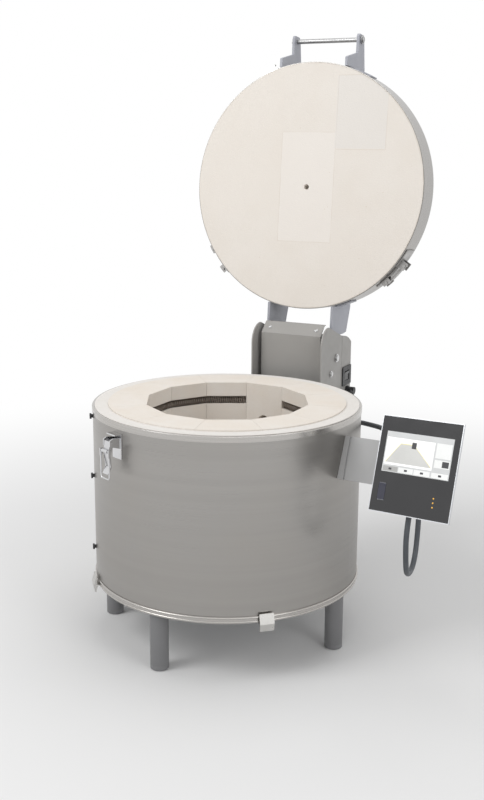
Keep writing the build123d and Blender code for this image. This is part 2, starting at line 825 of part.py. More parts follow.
bail_half = 11.6
bail_long = 47.0
bail_wire = 1.3
with BuildPart() as latch_bail:
    with BuildLine() as bail_path:
        FilletPolyline(
            latch_side.from_local_coords((bail_x, -bail_drop - 6, -bail_half)),
            latch_side.from_local_coords((bail_x, -bail_drop - bail_long, -bail_half)),
            latch_side.from_local_coords((bail_x, -bail_drop - bail_long, bail_half)),
            latch_side.from_local_coords((bail_x, -bail_drop - 6, bail_half)),
            radius=4,
        )
    with BuildSketch(Plane(origin=bail_path.line @ 0, z_dir=bail_path.line % 0)):
        Circle(bail_wire)
    sweep()
    with BuildSketch(latch_side.offset(-bail_half - 1.3)):
        with BuildLine():
            Polyline(
                (pivot_out + 4.5, -bail_drop + 3),
                (bail_x + 1.6, -bail_drop + 3),
                (bail_x + 1.6, -bail_drop - 10),
                (bail_x - 1.6, -bail_drop - 10),
                (pivot_out + 4.5, -bail_drop - 2),
                close=True,
            )
        make_face()
    extrude(amount=2.6)
    with BuildSketch(latch_side.offset(bail_half - 1.3)):
        with BuildLine():
            Polyline(
                (pivot_out + 4.5, -bail_drop + 3),
                (bail_x + 1.6, -bail_drop + 3),
                (bail_x + 1.6, -bail_drop - 10),
                (bail_x - 1.6, -bail_drop - 10),
                (pivot_out + 4.5, -bail_drop - 2),
                close=True,
            )
        make_face()
    extrude(amount=2.6)
    with BuildSketch(latch_side.offset(-bail_half)):
        with Locations((bail_pin, -bail_drop)):
            Circle(pin_r)
    extrude(amount=2 * bail_half)
keep(latch_bail.part, "latch_bail")

# Controller: bracket on the jacket, arm, housing, panel, glass, memory-stick flap

turn = math.radians(panel_turn)
lean = math.radians(panel_lean)
roll = math.radians(panel_roll)
face_out = Vector(math.sin(turn) * math.cos(lean), -math.cos(turn) * math.cos(lean), math.sin(lean))
level = Vector(math.cos(turn), math.sin(turn), 0)
rise = face_out.cross(level)
panel = Plane(
    origin=(panel_at[0], panel_at[1], panel_at[2] + rim_top),
    x_dir=level * math.cos(roll) + rise * math.sin(roll),
    z_dir=face_out,
)

flap_x = -53.0
flap_y = -44.5
flap_w = 12.5
flap_h = 27.0

with BuildPart() as controller_panel:
    with BuildSketch(panel.offset(-panel_t)):
        RectangleRounded(panel_w, panel_h, 1.2)
    extrude(amount=panel_t)
    with BuildSketch(panel.offset(-1.4)):
        RectangleRounded(panel_w - 2.4, panel_h - 2.4, 0.8)
    extrude(amount=3, mode=Mode.SUBTRACT)
    with BuildSketch(panel.offset(-10)):
        with Locations((flap_x, flap_y)):
            Rectangle(flap_w - 2, flap_h - 3)
    extrude(amount=12, mode=Mode.SUBTRACT)
keep(controller_panel.part, "controller_panel")

with BuildPart() as controller_glass:
    with BuildSketch(panel.offset(-1.3)):
        RectangleRounded(panel_w - 2.9, panel_h - 2.9, 0.6)
        with Locations((flap_x, flap_y)):
            RectangleRounded(flap_w + 0.7, flap_h + 0.7, 0.8, mode=Mode.SUBTRACT)
    extrude(amount=1.1)
keep(controller_glass.part, "controller_glass")

with BuildPart() as usb_flap:
    with BuildSketch(panel.offset(-1.2)):
        with Locations((flap_x, flap_y)):
            RectangleRounded(flap_w, flap_h, 0.6)
    extrude(amount=1.3)
    with BuildSketch(panel.offset(0)):
        with Locations((flap_x, flap_y + flap_h / 2 - 3)):
            Rectangle(flap_w - 4, 1.6)
    extrude(amount=1.0)
keep(usb_flap.part, "usb_flap")

with BuildPart() as controller_housing:
    with BuildSketch(panel.offset(-arm_front + 0.2)):
        with Locations((-6, 0)):
            RectangleRounded(112, 118, 3)
    extrude(amount=arm_front - 0.2 - panel_t - 0.1)
    with BuildSketch(panel.offset(-14)):
        with Locations((flap_x, flap_y)):
            Rectangle(flap_w - 3, flap_h - 5)
    extrude(amount=12, mode=Mode.SUBTRACT)
keep(controller_housing.part, "controller_housing")

lead_plane = Plane(
    origin=panel.from_local_coords((-6, -59, -17)),
    x_dir=panel.x_dir,
    z_dir=-panel.y_dir,
)
with BuildPart() as controller_gland:
    with BuildSketch(lead_plane.offset(0.1)):
        RegularPolygon(9.5, 6)
    extrude(amount=4)
    with BuildSketch(lead_plane.offset(4.1)):
        Circle(8.2)
    extrude(amount=7)
    with BuildSketch(lead_plane.offset(11.1)):
        Circle(6.6)
    extrude(amount=3)
keep(controller_gland.part, "controller_gland")

arm_start = -143.0
with BuildPart() as controller_arm:
    with BuildSketch(panel.offset(-arm_back)):
        with BuildLine():
            Polyline(
                (arm_start, -arm_half),
                (20, -arm_half),
                (34, -arm_half + 14),
                (34, arm_half - 14),
                (20, arm_half),
                (arm_start, arm_half),
                close=True,
            )
        make_face()
    extrude(amount=arm_back - arm_front)
    with BuildSketch(panel.offset(-arm_back - 1)):
        with Locations(((arm_start + 16) / 2, 0)):
            Rectangle(16 - arm_start - 4, 2 * arm_half - 4)
    extrude(amount=arm_back - arm_front - 0.5, mode=Mode.SUBTRACT)
keep(controller_arm.part, "controller_arm")

with BuildPart() as arm_bracket:
    with BuildSketch(panel.offset(-arm_back)):
        with Locations(((arm_start - 3.2 - 200) / 2, 0)):
            Rectangle(200 + arm_start - 3.2, 2 * arm_half)
    extrude(amount=arm_back - arm_front)
    with BuildSketch(Plane.XY.offset(rim_top - 200)):
        Circle(jacket_r + seat)
    extrude(amount=200, mode=Mode.SUBTRACT)
    with BuildSketch(panel.offset(-arm_back + 2)):
        with Locations((arm_start - 1.85, 0)):
            Rectangle(3.6, 2 * arm_half - 6)
    extrude(amount=arm_back - arm_front - 4)
keep(arm_bracket.part, "arm_bracket")

# Control cable: straight runs joined by tangent arcs

start = outlet_plane.offset(16).origin
finish = lead_plane.offset(14.1).origin
down = -panel.y_dir
route = [
    start,
    start + outlet_dir * 48,
    Vector(126, 300, rim_top - 86),
    Vector(156, 246, rim_top - 76),
    Vector(194, 180, rim_top - 58),
    Vector(262, 126, rim_top - 50),
    Vector(330, 62, rim_top - 66),
    Vector(364, -10, rim_top - 100),
    Vector(366, -16, rim_top - 172),
    Vector(367, -34, rim_top - 232),
    Vector(373, -94, rim_top - 232),
    Vector(376, -114, rim_top - 190),
    finish + down * 30,
    finish,
]
runs = []
for a, b in zip(route[:-1], route[1:]):
    runs.append((b - a).length)
radii = []
for i in range(1, len(route) - 1):
    angle = math.radians((route[i] - route[i - 1]).get_angle(route[i + 1] - route[i]))
    radii.append(round(0.45 * min(runs[i - 1], runs[i]) / math.tan(angle / 2), 1))
print("cable runs", [round(r, 1) for r in runs])
print("cable radii", radii)
with BuildPart() as control_cable:
    with BuildLine() as cable_path:
        FilletPolyline(*route, radius=radii)
    with BuildSketch(Plane(origin=cable_path.line @ 0, z_dir=cable_path.line % 0)):
        Circle(cable_r)
    sweep()
length = sum(edge.length for edge in cable_path.edges())
print("cable length", round(length, 1))
print("cable volume share", round(control_cable.part.volume / (math.pi * cable_r ** 2 * length), 4))
keep(control_cable.part, "control_cable")
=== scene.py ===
import bmesh
import bpy
import math
from mathutils import Matrix, Vector


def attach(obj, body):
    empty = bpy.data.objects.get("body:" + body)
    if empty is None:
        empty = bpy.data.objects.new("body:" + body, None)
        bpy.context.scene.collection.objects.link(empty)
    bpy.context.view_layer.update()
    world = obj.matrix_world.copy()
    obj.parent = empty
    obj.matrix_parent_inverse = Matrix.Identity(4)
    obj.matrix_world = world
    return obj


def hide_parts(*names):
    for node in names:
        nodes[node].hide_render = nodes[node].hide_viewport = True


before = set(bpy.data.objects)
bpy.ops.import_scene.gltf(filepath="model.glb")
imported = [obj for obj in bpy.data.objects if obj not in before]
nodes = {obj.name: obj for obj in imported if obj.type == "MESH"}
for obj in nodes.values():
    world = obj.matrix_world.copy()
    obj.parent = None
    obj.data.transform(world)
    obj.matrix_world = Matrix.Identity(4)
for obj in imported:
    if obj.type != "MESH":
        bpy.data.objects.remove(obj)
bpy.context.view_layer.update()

# Places from the model, in millimetres: the frame's origin seen from the kiln's own axis,
# the rim, the lid's hinge and opening, the lid's inner face when closed, and the chamber
FX = 106.2
FY = 108.0
RIM = 424.0
HINGE_Y = 338.0
HINGE_Z = 450.8
OPEN = math.radians(-95.3)
INNER = RIM + 3.4
LID_R = 240.3
CHAMBER_HALF = 142.0
CHAMBER_SIDES = 12
CHAMBER_TURN = 12.4
COIL_DROPS = (33.0, 103.0, 173.0)
COIL_DEPTH = 9.0
CABLE_R = 4.5
PANEL_MID = Vector((382, -102, RIM - 43.5))
PANEL_HALF_HEIGHT = 59.0


def at(x, y, z):
    """Kiln millimetres, z above the floor, to the row frame in metres."""
    return Vector(((x - FX) / 1000, (y - FY) / 1000, z / 1000))


def on_lid(x, v, out):
    """A lid point from its place when closed: v in front of the axis, out above the inner face."""
    dy = -v - HINGE_Y
    dz = INNER + out - HINGE_Z
    c = math.cos(OPEN)
    s = math.sin(OPEN)
    return at(x, HINGE_Y + dy * c - dz * s, HINGE_Z + dy * s + dz * c)


LID_V = (on_lid(0, 1000, 0) - on_lid(0, 0, 0)).normalized()
LID_OUT = (on_lid(0, 0, 1000) - on_lid(0, 0, 0)).normalized()
LID_MID = on_lid(0, 0, 0)

# The controller's front: its turn, lean and roll, and its own axes
TURN = math.radians(-12.9)
LEAN = math.radians(19.4)
ROLL = math.radians(2.85)
FACE = Vector((math.sin(TURN) * math.cos(LEAN), -math.cos(TURN) * math.cos(LEAN), math.sin(LEAN)))
LEVEL = Vector((math.cos(TURN), math.sin(TURN), 0))
RISE = FACE.cross(LEVEL)
PANEL_X = LEVEL * math.cos(ROLL) + RISE * math.sin(ROLL)
PANEL_Y = FACE.cross(PANEL_X)
PANEL_O = at(*PANEL_MID)


def on_panel(x, y, z):
    return PANEL_O + (PANEL_X * x + PANEL_Y * y + FACE * z) / 1000


def axes(origin, x_dir, z_dir):
    """Matrix from local millimetres to the row frame."""
    z_dir = z_dir.normalized()
    x_dir = (x_dir - z_dir * x_dir.dot(z_dir)).normalized()
    y_dir = z_dir.cross(x_dir)
    m = Matrix.Identity(4)
    for i in range(3):
        m[i][0] = x_dir[i] / 1000
        m[i][1] = y_dir[i] / 1000
        m[i][2] = z_dir[i] / 1000
        m[i][3] = origin[i]
    return m


# Camera, from the fit to the photograph

CAMERA_PLACE = (857.4, -1700.3, 880.7)
LENS = 49.23
yaw = math.radians(25.88)
pitch = math.radians(-13.05)
roll = math.radians(-0.38)
look = Vector((-math.sin(yaw) * math.cos(pitch), math.cos(yaw) * math.cos(pitch), math.sin(pitch)))
right = Vector((math.cos(yaw), math.sin(yaw), 0))
down = look.cross(right)
right_2 = right * math.cos(roll) + down * math.sin(roll)
down_2 = down * math.cos(roll) - right * math.sin(roll)
cam_data = bpy.data.cameras.new("camera")
cam_data.sensor_width = 36
cam_data.lens = LENS
cam_data.shift_x = -0.00214
cam_data.shift_y = -0.0086
cam_data.clip_end = 30
camera = bpy.data.objects.new("camera", cam_data)
where = at(*CAMERA_PLACE)
cam_matrix = Matrix.Identity(4)
for i in range(3):
    cam_matrix[i][0] = right_2[i]
    cam_matrix[i][1] = -down_2[i]
    cam_matrix[i][2] = -look[i]
    cam_matrix[i][3] = where[i]
camera.matrix_world = cam_matrix
bpy.context.scene.collection.objects.link(camera)
bpy.context.scene.camera = camera
bpy.context.scene.view_settings.view_transform = "Standard"


# Materials


class Tree:
    """A material under construction."""

    def __init__(self, name, color, rough, metal=0.0, **sockets):
        self.mat = bpy.data.materials.new(name)
        self.mat.use_nodes = True
        self.mat.diffuse_color = (*color, 1)
        self.nt = self.mat.node_tree
        self.nt.nodes.clear()
        out = self.nt.nodes.new("ShaderNodeOutputMaterial")
        self.bsdf = self.nt.nodes.new("ShaderNodeBsdfPrincipled")
        self.nt.links.new(self.bsdf.outputs[0], out.inputs[0])
        self.color = color
        self.bsdf.inputs["Base Color"].default_value = (*color, 1)
        self.bsdf.inputs["Roughness"].default_value = rough
        self.bsdf.inputs["Metallic"].default_value = metal
        for key, value in sockets.items():
            self.bsdf.inputs[key.replace("_", " ")].default_value = value
        self.place = None

    def plug(self, source, socket):
        if isinstance(source, (int, float)):
            socket.default_value = source
        elif isinstance(source, (tuple, Vector)):
            socket.default_value = (*source, 1) if len(socket.default_value) == 4 else tuple(source)
        else:
            self.nt.links.new(source, socket)

    def coords(self):
        if self.place is None:
            self.place = self.nt.nodes.new("ShaderNodeTexCoord").outputs["Object"]
        return self.place

    def math(self, op, a, b=0.0, c=0.0):
        n = self.nt.nodes.new("ShaderNodeMath")
        n.operation = op
        self.plug(a, n.inputs[0])
        self.plug(b, n.inputs[1])
        if op in ("COMPARE", "MULTIPLY_ADD"):
            self.plug(c, n.inputs[2])
        return n.outputs[0]

    def vector(self, op, a, b):
        n = self.nt.nodes.new("ShaderNodeVectorMath")
        n.operation = op
        self.plug(a, n.inputs[0])
        if op == "SCALE":
            self.plug(b, n.inputs["Scale"])
        else:
            self.plug(b, n.inputs[1])
        return n.outputs["Value" if op == "DOT_PRODUCT" else "Vector"]

    def noise(self, scale, detail=3.0, rough=0.5, vector=None):
        n = self.nt.nodes.new("ShaderNodeTexNoise")
        self.plug(vector if vector is not None else self.coords(), n.inputs["Vector"])
        n.inputs["Scale"].default_value = scale
        n.inputs["Detail"].default_value = detail
        n.inputs["Roughness"].default_value = rough
        return n.outputs["Fac"]

    def cells(self, scale, vector=None, randomness=1.0):
        n = self.nt.nodes.new("ShaderNodeTexVoronoi")
        self.plug(vector if vector is not None else self.coords(), n.inputs["Vector"])
        n.inputs["Scale"].default_value = scale
        n.inputs["Randomness"].default_value = randomness
        return n.outputs["Distance"]

    def span(self, value, low, high, to_low=0.0, to_high=1.0):
        n = self.nt.nodes.new("ShaderNodeMapRange")
        self.plug(value, n.inputs["Value"])
        n.inputs["From Min"].default_value = low
        n.inputs["From Max"].default_value = high
        n.inputs["To Min"].default_value = to_low
        n.inputs["To Max"].default_value = to_high
        return n.outputs["Result"]

    def mix(self, factor, a, b, blend="MIX"):
        n = self.nt.nodes.new("ShaderNodeMix")
        n.data_type = "RGBA"
        n.blend_type = blend
        self.plug(factor, n.inputs["Factor"])
        self.plug(a, n.inputs["A_Color" if "A_Color" in n.inputs else 6])
        self.plug(b, n.inputs["B_Color" if "B_Color" in n.inputs else 7])
        return n.outputs[2]

    def bump(self, height, strength, distance):
        n = self.nt.nodes.new("ShaderNodeBump")
        n.inputs["Strength"].default_value = strength
        n.inputs["Distance"].default_value = distance
        self.plug(height, n.inputs["Height"])
        self.plug(n.outputs[0], self.bsdf.inputs["Normal"])

    def base(self, source):
        self.plug(source, self.bsdf.inputs["Base Color"])

    def rough(self, source):
        self.plug(source, self.bsdf.inputs["Roughness"])

    def along(self, direction, fine, coarse):
        """Coordinates squeezed along one direction, for brushing across it."""
        d = Vector(direction).normalized()
        height = self.vector("DOT_PRODUCT", self.coords(), d)
        wide = self.vector("SCALE", self.coords(), coarse)
        lift = self.vector("SCALE", tuple(d), self.math("MULTIPLY", height, fine))
        return self.vector("ADD", wide, lift)


def scaled(color, k):
    return tuple(min(1.0, c * k) for c in color)


def brushed(name, color, direction, rough=0.3, aniso=0.5, fine=1500.0, streak=0.06, axis="Z"):
    """Stainless sheet brushed across the given direction."""
    t = Tree(name, color, rough, 1.0, Anisotropic=aniso)
    line = t.noise(1.0, 2.0, 0.6, t.along(direction, fine, 4.0))
    broad = t.noise(1.0, 2.0, 0.5, t.along(direction, 90.0, 1.5))
    cloud = t.noise(7.0, 2.0, 0.5)
    tone = t.mix(t.span(line, 0.3, 0.7), scaled(color, 1 - streak), scaled(color, 1 + streak))
    tone = t.mix(t.span(broad, 0.35, 0.65, 0.0, 0.35), tone, scaled(color, 0.9))
    tone = t.mix(t.span(cloud, 0.4, 0.75, 0.0, 0.25), tone, (color[0] * 1.04, color[1], color[2] * 0.94))
    t.base(tone)
    fine_rough = t.span(line, 0.25, 0.75, rough - 0.05, rough + 0.07)
    t.rough(t.math("ADD", fine_rough, t.span(cloud, 0.35, 0.7, 0, 0.05)))
    t.bump(line, 0.03, 0.0003)
    tangent = t.nt.nodes.new("ShaderNodeTangent")
    tangent.direction_type = "RADIAL"
    tangent.axis = axis
    t.plug(tangent.outputs[0], t.bsdf.inputs["Tangent"])
    return t.mat


def plain_steel(name, color, rough=0.3, wear=0.12):
    """Bright plated steel with faint clouds and fine scratches."""
    t = Tree(name, color, rough, 1.0)
    cloud = t.noise(40.0, 4.0, 0.6)
    fine = t.noise(1400.0, 2.0, 0.5)
    t.base(t.mix(t.span(cloud, 0.35, 0.7), color, scaled(color, 1 - wear)))
    t.rough(t.span(cloud, 0.3, 0.7, rough - 0.05, rough + 0.1))
    t.bump(fine, 0.05, 0.0002)
    return t.mat


def paint(name, color, rough=0.45, orange=0.06, worn=0.08, grain=900.0):
    """Powder coat: fine orange peel, slight clouds, dust that dulls it."""
    t = Tree(name, color, rough, 0.0, Specular_IOR_Level=0.5)
    cloud = t.noise(9.0, 3.0, 0.55)
    peel = t.noise(grain, 2.0, 0.5)
    t.base(t.mix(t.span(cloud, 0.35, 0.7), color, scaled(color, 1 - worn)))
    t.rough(t.span(t.noise(60.0, 3.0, 0.6), 0.3, 0.7, rough - 0.06, rough + 0.08))
    t.bump(peel, orange, 0.0004)
    return t.mat


def plastic(name, color, rough=0.5, grain=0.1):
    """Moulded plastic with a fine spark-eroded grain."""
    t = Tree(name, color, rough)
    t.base(t.mix(t.span(t.noise(25.0), 0.35, 0.7), color, tuple(c * 1.25 + 0.004 for c in color)))
    t.rough(t.span(t.noise(120.0), 0.3, 0.7, rough - 0.06, rough + 0.07))
    t.bump(t.noise(2200.0, 2.0), grain, 0.0003)
    return t.mat


def refractory(name, color, warm, speck=0.25, pores=0.35, rough=0.9):
    """Insulating firebrick: clouds of tone, small pores and rusty specks."""
    t = Tree(name, color, rough, Specular_IOR_Level=0.2)
    cloud = t.noise(14.0, 4.0, 0.6)
    fine = t.noise(420.0, 4.0, 0.7)
    dots = t.cells(150.0)
    tone = t.mix(t.span(cloud, 0.35, 0.68), color, warm)
    tone = t.mix(t.span(fine, 0.3, 0.75, 0.0, 0.25), tone, scaled(color, 0.86))
    spots = t.math("MULTIPLY", t.span(dots, 0.0, 0.16, speck, 0.0), t.span(t.noise(60.0), 0.5, 0.62))
    tone = t.mix(spots, tone, (0.36, 0.24, 0.15))
    t.base(tone)
    pits = t.math("ADD", t.span(t.cells(260.0), 0.0, 0.3, -0.7, 0.0), fine)
    t.bump(pits, pores, 0.0012)
    return t


STEEL = (0.375, 0.362, 0.347)
jacket_steel = brushed("steel_jacket", STEEL, (0, 0, 1), rough=0.3, aniso=0.6, streak=0.02)
band_steel = brushed("steel_band", scaled(STEEL, 0.92), LID_OUT, rough=0.27, aniso=0.4, axis="Y")
rim_steel = brushed("steel_rim", scaled(STEEL, 1.3), (0, 0, 1), rough=0.2, aniso=0.3, fine=900)
cover_steel = brushed("steel_cover", scaled(STEEL, 1.25), (1, 0, 0), rough=0.33, aniso=0.0, fine=1100)
zinc = plain_steel("zinc_plate", (0.60, 0.59, 0.57), 0.28)
pan_steel = plain_steel("galvanised_pan", (0.55, 0.56, 0.57), 0.42, 0.2)
chrome = plain_steel("chrome_latch", (0.66, 0.66, 0.67), 0.14, 0.06)
bright = plain_steel("bright_steel", (0.60, 0.60, 0.60), 0.22, 0.08)
bar_steel = plain_steel("bar_steel", (0.40, 0.40, 0.40), 0.32, 0.1)
dull = plain_steel("dull_steel", (0.42, 0.41, 0.40), 0.35, 0.2)
arm_paint = paint("arm_coat", (0.395, 0.405, 0.45), 0.42)
unit_paint = paint("unit_coat", (0.36, 0.35, 0.335), 0.45)
leg_paint = paint("leg_coat", (0.20, 0.20, 0.205), 0.42)
housing_paint = paint("housing_coat", (0.46, 0.46, 0.46), 0.40)
frame_paint = plain_steel("panel_frame", (0.62, 0.63, 0.65), 0.3)
black = plastic("black_plastic", (0.018, 0.018, 0.020), 0.45)
foot_grey = plastic("foot_grey", (0.19, 0.19, 0.195), 0.55, 0.15)
rocker_black = plastic("rocker_black", (0.015, 0.015, 0.016), 0.25, 0.03)
flap_black = plastic("flap_black", (0.022, 0.023, 0.042), 0.4)

BRICK = (0.80, 0.755, 0.70)
BRICK_WARM = (0.77, 0.705, 0.63)
wall_brick = refractory("wall_firebrick", BRICK, BRICK_WARM).mat
floor_brick = refractory("floor_firebrick", scaled(BRICK, 0.96), BRICK_WARM).mat
fibre = refractory("fibre_ring", (0.79, 0.765, 0.735), (0.76, 0.73, 0.695), 0.1, 0.4).mat
board = refractory("base_board", (0.66, 0.61, 0.52), (0.6, 0.54, 0.45), 0.1, 0.2).mat
probe = refractory("probe_ceramic", (0.78, 0.70, 0.58), (0.7, 0.6, 0.47), 0.05, 0.1, 0.6).mat


def lid_material():
    """The lid's brick, pieced from slabs whose joints and tones show faintly."""
    t = refractory("lid_firebrick", (0.85, 0.80, 0.74), (0.83, 0.775, 0.71), 0.18, 0.25)
    tone = t.bsdf.inputs["Base Color"].links[0].from_socket
    wave = t.math("MULTIPLY", t.math("SUBTRACT", t.noise(30.0, 2.0), 0.5), 0.0016)
    x = t.math("ADD", t.vector("DOT_PRODUCT", t.coords(), (1, 0, 0)), FX / 1000)
    x = t.math("ADD", x, wave)
    v = t.math("SUBTRACT", t.vector("DOT_PRODUCT", t.coords(), LID_V), LID_MID.dot(LID_V))
    v = t.math("SUBTRACT", v, wave)

    def inside(value, middle, half, soft=0.0006):
        gap = t.math("ABSOLUTE", t.math("SUBTRACT", value, middle))
        return t.span(gap, half - soft, half + soft, 1.0, 0.0)

    def slab(x0, x1, v0, v1):
        a = inside(x, (x0 + x1) / 2000, (x1 - x0) / 2000)
        b = inside(v, (v0 + v1) / 2000, (v1 - v0) / 2000)
        return t.math("MULTIPLY", a, b)

    patches = (
        ((-57, 57, -108, 107), (0.865, 0.82, 0.77), 0.7),
        ((55, 160, 76, 215), (0.80, 0.77, 0.735), 0.6),
        ((-240, -57, -60, 240), (0.83, 0.775, 0.71), 0.3),
        ((57, 240, -240, -90), (0.83, 0.775, 0.715), 0.3),
    )
    for box, shade, much in patches:
        tone = t.mix(t.math("MULTIPLY", slab(*box), much), tone, shade)
    joint = None
    for x0, x1, v0, v1 in ((-57, 57, -108, 107), (57, 160, 74, 215)):
        grown = slab(x0 - 0.35, x1 + 0.35, v0 - 0.35, v1 + 0.35)
        line = t.math("SUBTRACT", grown, slab(x0 + 0.35, x1 - 0.35, v0 + 0.35, v1 - 0.35))
        joint = line if joint is None else t.math("MAXIMUM", joint, line)
    broken = t.math("MULTIPLY", joint, t.span(t.noise(22.0, 2.0), 0.35, 0.6, 0.15, 0.6))
    tone = t.mix(broken, tone, (0.62, 0.53, 0.43))
    across = t.math("POWER", x, 2.0)
    up = t.math("POWER", v, 2.0)
    radius = t.math("SQRT", t.math("ADD", across, up))
    worn = t.span(radius, (LID_R - 2.8) / 1000, LID_R / 1000)
    edge = t.math("MULTIPLY", worn, t.span(t.noise(45.0, 3.0), 0.35, 0.65))
    tone = t.mix(t.math("MULTIPLY", edge, 0.5), tone, (0.60, 0.53, 0.45))
    rust = t.math("MULTIPLY", t.span(t.cells(34.0), 0.0, 0.035, 1.0, 0.0), 0.8)
    tone = t.mix(rust, tone, (0.50, 0.34, 0.19))
    t.base(tone)
    return t.mat


def coil_material():
    t = Tree("coil_wire", (0.25, 0.21, 0.175), 0.6, 0.3)
    t.base(t.mix(t.span(t.noise(90.0), 0.3, 0.7), (0.29, 0.25, 0.215), (0.19, 0.155, 0.13)))
    t.bump(t.noise(1800.0), 0.2, 0.0003)
    return t.mat


def glass_material():
    t = Tree("screen_glass", (0.010, 0.010, 0.012), 0.12, 0.0, Coat_Weight=0.6, Coat_Roughness=0.04)
    t.rough(t.span(t.noise(18.0, 3.0), 0.35, 0.7, 0.08, 0.2))
    t.base(t.mix(t.span(t.noise(12.0), 0.4, 0.8), (0.010, 0.010, 0.012), (0.016, 0.016, 0.018)))
    return t.mat


def sheath_material():
    t = Tree("cable_sheath", (0.055, 0.062, 0.072), 0.45)
    t.base(t.mix(t.span(t.noise(60.0), 0.3, 0.7), (0.055, 0.062, 0.072), (0.075, 0.082, 0.092)))
    t.bump(t.noise(700.0), 0.12, 0.0004)
    t.rough(t.span(t.noise(90.0), 0.3, 0.7, 0.38, 0.55))
    return t.mat


def lit(name, color, glow=0.35, rough=0.3):
    """A lit area of the display, with a faint unevenness of the backlight."""
    t = Tree(name, color, rough, 0.0, Emission_Strength=glow)
    shade = t.mix(t.span(t.noise(35.0, 2.0), 0.3, 0.7), color, scaled(color, 0.93))
    t.base(shade)
    t.plug(shade, t.bsdf.inputs["Emission Color"])
    return t.mat


lid_brick = lid_material()
coil_wire = coil_material()
glass = glass_material()
sheath = sheath_material()

finish = {
    jacket_steel: ["jacket"],
    rim_steel: ["top_rim", "bottom_rim"],
    band_steel: ["lid_band"],
    cover_steel: ["lid_cover"],
    pan_steel: ["floor_pan"],
    zinc: ["bottom_clips", "latch_keeper"],
    chrome: ["latch_base", "latch_lever", "latch_bail"],
    bright: ["hinge_shaft", "stop_rod"],
    bar_steel: ["handle_bar"],
    dull: ["band_clamp_left", "band_clamp_right"],
    arm_paint: ["arm_left", "arm_right"],
    unit_paint: ["hinge_plate_right", "hinge_plate_left", "hinge_cover", "rear_box"],
    leg_paint: ["leg_front", "leg_right", "leg_left", "leg_back"],
    housing_paint: ["controller_housing", "controller_arm", "arm_bracket"],
    frame_paint: ["controller_panel"],
    black: ["seam_knobs", "switch_frame", "mains_inlet", "cable_gland", "controller_gland"],
    foot_grey: ["foot_caps"],
    rocker_black: ["switch_rocker"],
    flap_black: ["usb_flap"],
    glass: ["controller_glass"],
    lid_brick: ["lid_brick"],
    floor_brick: ["floor_brick"],
    fibre: ["insulation_ring"],
    board: ["floor_board"],
    probe: ["thermocouple"],
    wall_brick: ["wall_brick_%02d" % k for k in range(1, 13)],
    coil_wire: ["heating_coil_%d" % k for k in range(1, 4)],
    sheath: ["control_cable"],
}
for material, names in finish.items():
    for name in names:
        for s in nodes[name].material_slots:
            s.material = material


def round_edges(width, names, segments=2, angle=35):
    """A small bevel on a CAD node, so that its edges catch light."""
    for name in names:
        b = nodes[name].modifiers.new("edge", "BEVEL")
        b.width = width / 1000
        b.segments = segments
        b.limit_method = "ANGLE"
        b.angle_limit = math.radians(angle)
        b.use_clamp_overlap = True
        b.harden_normals = False


round_edges(0.7, ["wall_brick_%02d" % k for k in range(1, 13)])
round_edges(0.5, ["arm_left", "arm_right", "hinge_plate_left", "hinge_plate_right"], 1)
round_edges(0.9, ["rear_box", "controller_housing", "controller_arm", "arm_bracket"])


# Mesh helpers


def piece(name, bm, body, material, sharp=30):
    """Turns a bmesh in row-frame metres into a piece that rides on a body."""
    bmesh.ops.recalc_face_normals(bm, faces=bm.faces)
    mesh = bpy.data.meshes.new(name)
    bm.to_mesh(mesh)
    bm.free()
    mesh.shade_smooth()
    mesh.set_sharp_from_angle(angle=math.radians(sharp))
    ob = bpy.data.objects.new(name, mesh)
    bpy.context.scene.collection.objects.link(ob)
    mesh.materials.append(material)
    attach(ob, body)
    return ob


def lathe(bm, profile, m, steps=24):
    """Revolves (radius, height) pairs round the local z of m."""
    rings = []
    for r, h in profile:
        if r < 1e-6:
            rings.append([bm.verts.new(m @ Vector((0, 0, h)))])
            continue
        ring = []
        for k in range(steps):
            a = 2 * math.pi * k / steps
            ring.append(bm.verts.new(m @ Vector((r * math.cos(a), r * math.sin(a), h))))
        rings.append(ring)
    for a, b in zip(rings[:-1], rings[1:]):
        for k in range(steps):
            j = (k + 1) % steps
            if len(a) == 1 and len(b) == 1:
                continue
            if len(a) == 1:
                bm.faces.new((a[0], b[k], b[j]))
            elif len(b) == 1:
                bm.faces.new((a[k], a[j], b[0]))
            else:
                bm.faces.new((a[k], a[j], b[j], b[k]))
    for ring in (rings[0], rings[-1]):
        if len(ring) > 2:
            bm.faces.new(ring)


def block(bm, m, lo, hi, bevel=0.0):
    """A box between two local corners, its edges bevelled."""
    made = bmesh.ops.create_cube(bm, size=1.0)["verts"]
    lo = Vector(lo)
    hi = Vector(hi)
    for v in made:
        v.co = lo + (hi - lo) * 0.5 + v.co * (hi - lo)
    if bevel:
        edges = list({e for v in made for e in v.link_edges})
        got = bmesh.ops.bevel(bm, geom=edges, offset=bevel, segments=2, affect="EDGES", profile=0.5)
        made = list({v for f in got["faces"] for v in f.verts} | {v for v in made if v.is_valid})
    for v in made:
        v.co = m @ v.co


